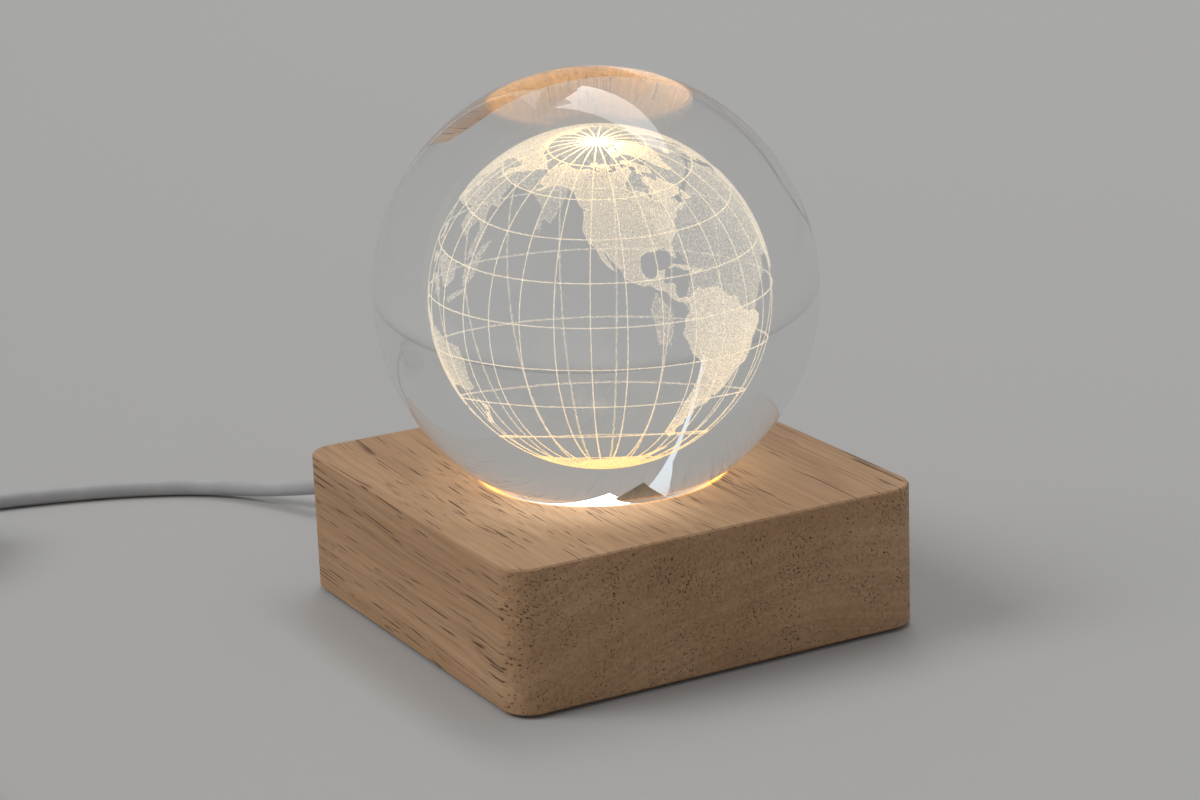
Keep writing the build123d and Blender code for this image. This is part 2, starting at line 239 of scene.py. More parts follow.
def scattered(tree, value, cloud, reach):
    """A value that a cloud raises where it is thick and lowers where it is thin."""
    return number(tree, "ADD", value, scaled(tree, cloud, reach, -reach / 2))


def share_between(tree, value, low, high):
    """0 up to the low value, 1 from the high one on."""
    return node(tree, "ShaderNodeMapRange", Value=value, From_Min=low, From_Max=high).outputs[0]


def above(tree, value, limit):
    """1 above the limit, 0 below it."""
    return number(tree, "GREATER_THAN", value, limit)


def level_direction(azimuth):
    """The level direction at an azimuth."""
    return cos(azimuth), sin(azimuth), 0


# Painted light of the lamps on the wood, a glow in its colour: on the wall of the recess, and on the top from
# its rim outwards
WASH_WIDTH = 12.3 * MM
PAINTED_RECESS_WASH = (6.5, 5.3, 2.2)
WALL_STRETCH = (1600, 1600, 40)
WALL_SHADES = ((0.36, 0.7), (0.64, 1.2))
WASH = (
    (0.0, (3.4, 2.3, 0.75)),
    (0.045, (2.4, 1.6, 0.6)),
    (0.075, (0.42, 0.37, 0.29)),
    (0.3, (0.24, 0.22, 0.19)),
    (0.65, (0.08, 0.075, 0.065)),
    (1.0, BLACK),
)

# Painted light: the light that the ball gathers from behind and throws on the wood before it, a pale pool
# painted into the wood's glow
POOL_AZIMUTH = radians(-36)
POOL_HALF_ANGLE = radians(46)
POOL_SIDES = ((0.0, 0.0), (0.45, 0.42), (0.8, 1.0))
POOL_WIDTH = 17 * MM
POOL = ((0.0, (0.62, 0.78, 0.98)), (0.4, (0.52, 0.65, 0.80)), (0.72, (0.17, 0.21, 0.25)), (1.0, BLACK))

# How far past the chamfer, the wall and the floor of the recess the light changes over
RIM_MARGIN = 0.05 * MM
WALL_MARGIN = 0.1 * MM
FLOOR_MARGIN = 1.0 * MM


def painted_lamp_wash(tree):
    """Painted light on the wood, a glow that stands for the light the ball throws on it: full on the wall of
    the recess, a thin golden line on its rim, a ring on the top that dies away, and a pale pool on one side."""
    place = here(tree)
    flat = vector(tree, "MULTIPLY", place, (1, 1, 0))
    radius = vector(tree, "LENGTH", flat)
    height = coordinate(tree, place, "Z")
    outward = vector(tree, "NORMALIZE", flat)
    facing = vector(tree, "DOT_PRODUCT", outward, level_direction(POOL_AZIMUTH))
    sector = ramp(tree, share_between(tree, facing, cos(POOL_HALF_ANGLE), 1.0), *POOL_SIDES)
    ring = ramp(tree, share_between(tree, radius, RECESS_RADIUS, RECESS_RADIUS + WASH_WIDTH), *WASH)
    pool = ramp(tree, share_between(tree, radius, RECESS_RADIUS, RECESS_RADIUS + POOL_WIDTH), *POOL)
    on_top = mixed(tree, 1.0, ring, times(tree, pool, sector), "ADD")
    upright = noise(tree, mapped(tree, here(tree), WALL_STRETCH), detail=3.0, roughness=0.6)
    wall = times(tree, PAINTED_RECESS_WASH, ramp(tree, upright, *WALL_SHADES))
    hollow = mixed(tree, above(tree, radius, RECESS_RADIUS + WALL_MARGIN), wall, BLACK)
    below = mixed(tree, above(tree, height, RECESS_FLOOR - FLOOR_MARGIN), BLACK, hollow)
    return mixed(tree, above(tree, height, BLOCK_TOP - RIM_CHAMFER - RIM_MARGIN), below, on_top)


# Wood: its shades from dark to light, its late growth, and its vessels
WOOD_SHADES = ((0.3, (0.42, 0.245, 0.128)), (0.5, (0.48, 0.29, 0.156)), (0.72, (0.54, 0.338, 0.195)))
WOOD_LATE = (0.33, 0.17, 0.085)
WOOD_PORE = (0.085, 0.038, 0.017)
WOOD_ROUGHNESS = 0.55
WOOD_GLOSS = 0.35

# The heart of the tree, as its Y and Z, and its year rings: their width, their drift along X and their shades
TREE_HEART = (0.018, -0.085)
RING_WIDTH = 3.2 * MM
RING_DRIFT = 6.0
RING_SHADES = ((0.40, 0.0), (0.56, 0.30), (0.62, 0.0))

# Stretches of the noises along X, Y and Z. The first ones sway the fibres, each with its reach
SWAYS = (((9, 22, 22), 8 * MM), ((45, 60, 60), 1.2 * MM))
LEAN = (0, radians(-1.5), radians(1.5))
TONE_STRETCH = (3, 40, 40)
FIBRE_STRETCH = (12, 1500, 1500)
FIBRE_SHADES = ((0.32, 0.58), (0.62, 1.0))
FIBRE_SHARE = 0.6
FIBRE_HEIGHT = 0.35
CLOUD_STRETCH = (14, 170, 170)

# The long vessels are drawn-out noise. The short ones are cells, with edges in shares of a step
STREAK_STRETCH = (24, 1900, 1900)
STREAK_SCATTER = 0.28
STREAK_EDGE = ((0.632, 0.0), (0.68, 1.0))
PORE_STEP_ALONG = 30 * MM
PORE_STEP_ACROSS = 0.9 * MM
PORE_SCATTER = -0.22
PORE_EDGE = ((0.098, 1.0), (0.161, 0.0))
PORE_DARKNESS = 0.85
PORE_DEPTH = 0.12 * MM


def swayed(tree):
    """Places whose Y and Z wander as X runs on, as the fibres of a board do."""
    place = node(tree, "ShaderNodeMapping", Vector=here(tree), Rotation=LEAN).outputs[0]
    for stretch, reach in SWAYS:
        drift = node(tree, "ShaderNodeTexNoise", Vector=mapped(tree, place, stretch), Scale=1.0, Detail=1.0)
        centred = vector(tree, "MULTIPLY_ADD", drift.outputs["Color"],
                         (0, reach, reach), (0, -reach / 2, -reach / 2))
        place = vector(tree, "ADD", place, centred)
    return place


def year_rings(tree, place):
    """Late growth: a band in each year ring round the heart of the tree, which lay below the block."""
    across = vector(tree, "MULTIPLY_ADD", place, (0, 1, 1), (0, -TREE_HEART[0], -TREE_HEART[1]))
    rings = node(tree, "ShaderNodeCombineXYZ",
                 X=scaled(tree, vector(tree, "LENGTH", across), 1 / RING_WIDTH),
                 Y=scaled(tree, coordinate(tree, place, "X"), RING_DRIFT))
    return ramp(tree, noise(tree, rings.outputs[0], roughness=0.6), *RING_SHADES)


def long_pores(tree, place, cloud):
    """Long thin vessels of uneven length, more of them where the cloud is thick: 1 inside one."""
    drawn_out = noise(tree, mapped(tree, place, STREAK_STRETCH, (2, 9, 4)))
    return ramp(tree, scattered(tree, drawn_out, cloud, STREAK_SCATTER), *STREAK_EDGE)


def short_pores(tree, place, cloud):
    """Short thin vessels along X, none where the cloud is thin: 1 inside one."""
    apart = mapped(tree, mapped(tree, place, (1, 1, 1), (0.3, 0.2, 0.1)),
                   (1 / PORE_STEP_ALONG, 1 / PORE_STEP_ACROSS, 1 / PORE_STEP_ACROSS))
    cells = node(tree, "ShaderNodeTexVoronoi", Scale=1.0, Randomness=1.0, Vector=apart)
    return ramp(tree, scattered(tree, cells.outputs["Distance"], cloud, PORE_SCATTER), *PORE_EDGE)


def wood():
    """Pale oiled wood with long fibres along X, and vessels that are dots on the ends of the block. It glows
    with painted light: the lamps' and the ball's light on it.
    """
    material, tree, surface = new_material("oiled_wood")
    place = swayed(tree)
    tone = ramp(tree, noise(tree, mapped(tree, place, TONE_STRETCH), detail=3.0), *WOOD_SHADES)
    banded = mixed(tree, year_rings(tree, place), tone, WOOD_LATE)
    fibre = noise(tree, mapped(tree, place, FIBRE_STRETCH), detail=3.0, roughness=0.65)
    fibred = mixed(tree, FIBRE_SHARE, banded, ramp(tree, fibre, *FIBRE_SHADES), "MULTIPLY")
    cloud = noise(tree, mapped(tree, place, CLOUD_STRETCH, (7, 5, 3)))
    pores = number(tree, "MAXIMUM", long_pores(tree, place, cloud), short_pores(tree, place, cloud))
    colour = mixed(tree, scaled(tree, pores, PORE_DARKNESS), fibred, WOOD_PORE)
    height = number(tree, "SUBTRACT", scaled(tree, fibre, FIBRE_HEIGHT), pores)
    # The emission is painted light from the lamps and the ball, in the wood's own colour
    principled(tree, surface, Base_Color=colour, Roughness=WOOD_ROUGHNESS, Specular_IOR_Level=WOOD_GLOSS,
               Normal=bump(tree, height, PORE_DEPTH),
               Emission_Color=times(tree, colour, painted_lamp_wash(tree)), Emission_Strength=1.0)
    return material


# Optical glass: its index, its faint tints, and what is left of the lamps' light behind it
GLASS_INDEX = 1.5168
GLASS_TINTS = ((0.3, (0.978, 0.985, 0.979)), (0.7, (0.988, 0.992, 0.988)))
GLASS_SHADE = (0.96, 0.97, 0.96)


def clear_glass():
    """Polished optical glass that lets lamps shine through it onto what is inside and behind."""
    material, tree, surface = new_material("clear_glass")
    tint = ramp(tree, noise(tree, here(tree), 30, 1.0), *GLASS_TINTS)
    glass = node(tree, "ShaderNodeBsdfPrincipled", Base_Color=tint, Roughness=0.0,
                 IOR=GLASS_INDEX, Transmission_Weight=1.0)
    passed = node(tree, "ShaderNodeBsdfTransparent", Color=GLASS_SHADE)
    light = tree.nodes.new("ShaderNodeLightPath")
    blend = node(tree, "ShaderNodeMixShader", Fac=light.outputs["Is Shadow Ray"])
    tree.links.new(glass.outputs[0], blend.inputs[1])
    tree.links.new(passed.outputs[0], blend.inputs[2])
    tree.links.new(blend.outputs[0], surface)
    return material


# The engraved specks: their glow, painted light from the lowest to the highest, the painted shade on the side
# away from the camera, and their variety
PAINTED_SPECK_LIGHT = (
    (0.0, (1.0, 0.66, 0.27)),
    (0.05, (1.0, 0.72, 0.38)),
    (0.15, (0.80, 0.65, 0.46)),
    (0.5, (0.70, 0.61, 0.48)),
    (0.85, (0.76, 0.65, 0.49)),
    (0.965, (0.88, 0.72, 0.50)),
    (0.99, (1.5, 1.12, 0.64)),
    (1.0, (2.6, 2.0, 1.2)),
)
SPECK_STRENGTH = 1.5
SPECK_BASE = (0.2, 0.2, 0.2)
SPECK_VARIETY = ((0.38, 0.7), (0.62, 1.0))
PAINTED_BRIGHT_SIDE = radians(-28)
PAINTED_SIDE_SHADE = ((0.25, (0.66, 0.71, 0.80)), (0.62, WHITE))


def engraved():
    """White specks burnt into the glass, which glow with painted light in place of the lamps under them: the
    lowest ones brightest, the top ones, which lie on the ball's own focus, brighter than the middle, and the
    side towards the camera brighter than the painted shade of the far side."""
    material, tree, surface = new_material("engraved_specks")
    place = here(tree)
    height = coordinate(tree, place, "Z")
    # Painted shade: the side away from the camera glows dimmer and bluer
    facing = vector(tree, "DOT_PRODUCT", place, level_direction(PAINTED_BRIGHT_SIDE))
    # Painted light: the lowest and the top specks glow brightest
    rise = share_between(tree, height, GLOBE_CENTRE.z - GLOBE_RADIUS, GLOBE_CENTRE.z + GLOBE_RADIUS)
    glow = ramp(tree, rise, *PAINTED_SPECK_LIGHT)
    side = ramp(tree, share_between(tree, facing, -GLOBE_RADIUS, GLOBE_RADIUS), *PAINTED_SIDE_SHADE)
    variety = ramp(tree, noise(tree, here(tree), 4200, 1.0), *SPECK_VARIETY)
    lit = times(tree, times(tree, glow, side), variety)
    principled(tree, surface, Base_Color=times(tree, lit, SPECK_BASE), Roughness=0.9,
               Emission_Color=lit, Emission_Strength=SPECK_STRENGTH)
    return material


# Moulded pieces: the shares of their colour in the clouding and in a seam, and the sway of their gloss
CLOUD_SHARE = 0.88
SEAM_SHARE = 0.25
ROUGHNESS_SWAY = 0.06


def moulded(name, colour, roughness, grain=900, depth=0.03 * MM, seam=None):
    """Moulded plastic or rubber: an even colour with faint clouding and a fine grain, and a thin
    dark seam at one height where two shells meet."""
    material, tree, surface = new_material(name)
    cloud = ramp(tree, noise(tree, here(tree), 160, 3.0), (0.35, 0.0), (0.7, 1.0))
    shade = mixed(tree, cloud, darker(colour, CLOUD_SHARE), colour)
    fine = noise(tree, here(tree), grain, 4.0, 0.6)
    rough = ramp(tree, fine, (0.3, roughness - ROUGHNESS_SWAY), (0.7, roughness + ROUGHNESS_SWAY))
    if seam is not None:
        height = coordinate(tree, here(tree), "Z")
        line = number(tree, "SUBTRACT", above(tree, height, seam - SEAM_HEIGHT / 2),
                      above(tree, height, seam + SEAM_HEIGHT / 2))
        shade = mixed(tree, line, shade, darker(colour, SEAM_SHARE))
    principled(tree, surface, Base_Color=shade, Roughness=rough, Normal=bump(tree, fine, depth))
    return material


# Plated metal: the fine brushing's stretch and its share of the colour
BRUSHING = (300, 9000, 9000)
BRUSHED_SHARE = 0.85


def metal(name, colour, roughness):
    """Plated metal with fine brushing along X."""
    material, tree, surface = new_material(name)
    brushed = noise(tree, mapped(tree, here(tree), BRUSHING))
    shade = mixed(tree, ramp(tree, brushed, (0.3, 0.0), (0.7, 1.0)), darker(colour, BRUSHED_SHARE), colour)
    rough = ramp(tree, brushed, (0.3, roughness - 0.05), (0.7, roughness + 0.08))
    principled(tree, surface, Base_Color=shade, Metallic=1.0, Roughness=rough)
    return material


# The lamps' windows
LAMP_STRENGTH = 90.0
LAMP_COLOUR = (0.95, 0.72, 0.15)
LAMP_GLOW = ((0.3, (1.0, 0.70, 0.36)), (0.7, (1.0, 0.80, 0.50)))


def lamp_glow():
    """The glowing yellow window of a small lamp."""
    material, tree, surface = new_material("lamp_window")
    glow = ramp(tree, noise(tree, here(tree), 3000), *LAMP_GLOW)
    principled(tree, surface, Base_Color=LAMP_COLOUR, Roughness=0.35,
               Emission_Color=glow, Emission_Strength=LAMP_STRENGTH)
    return material


# The strap's two threads, and how many of them cross in a metre
STRAP_THREADS = ((0.035, 0.035, 0.04), (0.012, 0.012, 0.014))
STRAP_COUNT = 2600
STRAP_DEPTH = 0.1 * MM


def woven():
    """A black woven strap."""
    material, tree, surface = new_material("woven_strap")
    weave = node(tree, "ShaderNodeTexChecker", Vector=here(tree), Scale=STRAP_COUNT,
                 Color1=STRAP_THREADS[0], Color2=STRAP_THREADS[1])
    principled(tree, surface, Base_Color=weave.outputs["Color"], Roughness=0.85,
               Normal=bump(tree, weave.outputs["Fac"], STRAP_DEPTH, 0.8))
    return material


# Each moulded finish's colour and roughness, and where they differ its grain, depth and seam
MOULDED = {
    "cord_grey": ((0.47, 0.47, 0.475), 0.42, 1500, 0.02 * MM),
    "housing_grey": ((0.50, 0.50, 0.505), 0.5, 2600, 0.04 * MM),
    "switch_grey": ((0.50, 0.50, 0.505), 0.5, 2600, 0.04 * MM, SEAM_LEVEL),
    "button_grey": ((0.33, 0.33, 0.34), 0.4),
    "pad_black": ((0.035, 0.032, 0.03), 0.8, 3000, 0.08 * MM),
    "board_white": ((0.82, 0.82, 0.79), 0.3),
    "chip_black": ((0.03, 0.03, 0.035), 0.45),
    "lamp_white": ((0.85, 0.84, 0.78), 0.35),
    "tie_white": ((0.78, 0.78, 0.75), 0.4),
    "wire_red": ((0.45, 0.02, 0.015), 0.4),
    "wire_black": ((0.02, 0.02, 0.02), 0.4),
    "tongue_white": ((0.8, 0.8, 0.8), 0.4),
}
METALS = {
    "nickel": ((0.62, 0.61, 0.59), 0.25),
    "steel": ((0.56, 0.56, 0.57), 0.35),
    "gold": ((0.85, 0.58, 0.22), 0.3),
}
finish = {
    "oiled_wood": wood(),
    "clear_glass": clear_glass(),
    "engraved_specks": engraved(),
    "lamp_window": lamp_glow(),
    "woven_strap": woven(),
}
for name, look in MOULDED.items():
    finish[name] = moulded(name, *look)
for name, look in METALS.items():
    finish[name] = metal(name, *look)

WORN = {
    "wooden_base": "oiled_wood",
    "led_board": "board_white",
    "resistors": "chip_black",
    "board_screws": "steel",
    "cord_entry": "cord_grey",
    "cord_tie": "tie_white",
    "wire_positive": "wire_red",
    "wire_negative": "wire_black",
    "coil_strap": "woven_strap",
    "switch_lower": "switch_grey",
    "switch_upper": "switch_grey",
    "switch_button": "button_grey",
    "switch_contacts": "chip_black",
    "plug_body": "housing_grey",
    "plug_shell": "nickel",
    "plug_tongue": "tongue_white",
    "plug_contacts": "gold",
}
WORN.update((name, "pad_black") for name in nodes if name.startswith("foot_"))
WORN.update((name, "lamp_white") for name in lamps)
for name, look in WORN.items():
    wear(nodes[name], finish[look])


# The camera, a little over half a metre from the ball
CAMERA_AZIMUTH = radians(61.538)
CAMERA_ELEVATION = radians(16.553)
CAMERA_ROLL = radians(-2.193)
CAMERA_DISTANCE = 570.685 * MM
CAMERA_AIM = Vector((0, 0, 40 * MM))
CAMERA_SIDESTEP = -0.036 * MM
CAMERA_RISE = -0.646 * MM
LENS = 94.72
SENSOR = 36


def make_camera():
    """The camera looks down on the front corner of the block, a little out of level."""
    back = Vector((
        sin(CAMERA_AZIMUTH) * cos(CAMERA_ELEVATION),
        -cos(CAMERA_AZIMUTH) * cos(CAMERA_ELEVATION),
        sin(CAMERA_ELEVATION),
    ))
    level = Vector(level_direction(CAMERA_AZIMUTH))
    upright = back.cross(level)
    right = level * cos(CAMERA_ROLL) + upright * sin(CAMERA_ROLL)
    up = upright * cos(CAMERA_ROLL) - level * sin(CAMERA_ROLL)
    camera = bpy.data.objects.new("camera", bpy.data.cameras.new("camera"))
    bpy.context.scene.collection.objects.link(camera)
    camera.matrix_world = Matrix((right, up, back)).transposed().to_4x4()
    camera.location = CAMERA_AIM + right * CAMERA_SIDESTEP + up * CAMERA_RISE + back * CAMERA_DISTANCE
    camera.data.lens = LENS
    camera.data.sensor_width = SENSOR
    camera.data.clip_start = 0.05
    camera.data.clip_end = 20
    bpy.context.scene.camera = camera


make_camera()


# The cord's route and coil, in millimetres: the coil spirals in, climbs a layer, spirals out and so on
CORD_DIAMETER = 3.2
TABLE_LEVEL = 1.65
CORD_EXIT_X, CORD_EXIT_LEVEL = -42, 12.5
COIL_X, COIL_Y = -102.0, -118.0
COIL_INNER, TURN_PITCH, LAYER_PITCH = 13.4, 4.3, 3.85
SPIRAL_TURNS, CLIMB_TURNS, LAYERS, LAST_TURNS = 2.5, 0.5, 4, 2.25
LAYER_TURNS = SPIRAL_TURNS + CLIMB_TURNS
COIL_LEVEL = 2.1
COIL_OUTER = COIL_INNER + TURN_PITCH * SPIRAL_TURNS
COIL_TURNS = (LAYERS - 1) * LAYER_TURNS + LAST_TURNS
SWITCH_START, SWITCH_LENGTH, SWITCH_SPLIT, SWITCH_REACH = -60.0, 34.0, 5.5, 4.0
SWITCH_END = SWITCH_START + SWITCH_LENGTH
PLUG_START, PLUG_AXIS = 3.2, 3.8

# A smooth line cuts its corners, so the points of the coil stand a little wider than the coil
POINTS_PER_TURN = 16
ROUTE_WIDENING = 0.018
WIDENING_POINTS = 5


def coil_point(turns, widening=0.0):
    """Centre of the coiled cord after a number of turns, in millimetres."""
    layer = min(int(turns / LAYER_TURNS), LAYERS - 1)
    into_layer = turns - layer * LAYER_TURNS
    spiral = TURN_PITCH * min(into_layer, SPIRAL_TURNS)
    radius = (COIL_OUTER - spiral if layer % 2 == 0 else COIL_INNER + spiral) * (1 + widening)
    climb = min(max(into_layer - SPIRAL_TURNS, 0) / CLIMB_TURNS, 1)
    level = COIL_LEVEL + LAYER_PITCH * (layer + climb * climb * (3 - 2 * climb))
    angle = pi + 2 * pi * turns
    return COIL_X + radius * cos(angle), COIL_Y + radius * sin(angle), level


def cord_piece(name, route):
    """A cord along a smooth line that a route of points steers, in millimetres."""
    line = bpy.data.curves.new(name, "CURVE")
    line.dimensions = "3D"
    spline = line.splines.new("NURBS")
    spline.points.add(len(route) - 1)
    for point, place in zip(spline.points, route):
        point.co = (*(part * MM for part in place), 1)
    spline.order_u = 3
    spline.use_endpoint_u = True
    line.resolution_u = 5
    line.bevel_depth = CORD_DIAMETER / 2 * MM
    line.bevel_resolution = 4
    line.use_fill_caps = True
    piece = bpy.data.objects.new(name, line)
    bpy.context.scene.collection.objects.link(piece)
    wear(piece, finish["cord_grey"])
    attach(piece, "base")
    return piece


coil_end_x, coil_end_y, coil_end_level = coil_point(COIL_TURNS)
supply_route = [
    (-38, 0, CORD_EXIT_LEVEL),
    (-56, 0, CORD_EXIT_LEVEL),
    (-73.5, -17.5, 7.0),
    (-92, -27.5, 2.7),
    (-104, -35.5, TABLE_LEVEL),
    (-113, -50, TABLE_LEVEL),
    (-119, -67, TABLE_LEVEL),
    (-123.5, -86, TABLE_LEVEL),
    (COIL_X - COIL_OUTER, COIL_Y + 15, COIL_LEVEL),
]
for step in range(int(COIL_TURNS * POINTS_PER_TURN) + 1):
    widening = ROUTE_WIDENING * min(step / WIDENING_POINTS, 1)
    supply_route.append(coil_point(step / POINTS_PER_TURN, widening))
supply_route += [
    (coil_end_x + 12, coil_end_y, coil_end_level),
    (coil_end_x + 26, coil_end_y - 0.5, SWITCH_SPLIT + 3.1),
    (SWITCH_START - 6, coil_end_y, SWITCH_SPLIT),
    (SWITCH_START + SWITCH_REACH, coil_end_y, SWITCH_SPLIT),
]
supply_cord = cord_piece("supply_cord", supply_route)
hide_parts("cord_lead", "cord_coil", "cord_tail")

plug_cord = cord_piece("plug_cord", [
    (SWITCH_END - SWITCH_REACH, coil_end_y, SWITCH_SPLIT),
    (SWITCH_END + SWITCH_REACH, coil_end_y, SWITCH_SPLIT),
    (PLUG_START - 6.4, coil_end_y, PLUG_AXIS),
    (PLUG_START, coil_end_y, PLUG_AXIS),
])
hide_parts("cord_end")


def make_ball():
    """A polished ball: a coarse one is divided and drawn out to the full round."""
    deselect()
    bpy.ops.mesh.primitive_ico_sphere_add(subdivisions=5, radius=BALL_RADIUS - BALL_SWELL,
                                          location=BALL_CENTRE)
    ball = bpy.context.object
    ball.name = "glass_ball"
    bpy.ops.object.mode_set(mode="EDIT")
    bpy.ops.mesh.select_all(action="SELECT")
    for finer in range(BALL_DIVISIONS):
        bpy.ops.mesh.subdivide(number_cuts=1, smoothness=1.0)
        bpy.ops.transform.tosphere(value=1.0)
    bpy.ops.object.mode_set(mode="OBJECT")
    bpy.ops.object.shade_smooth()
    settle(ball)
    wear(ball, finish["clear_glass"])
    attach(ball, "ball")
    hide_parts("crystal_ball")


make_ball()


# The engraved globe: outlines of the land, as longitude and latitude in degrees

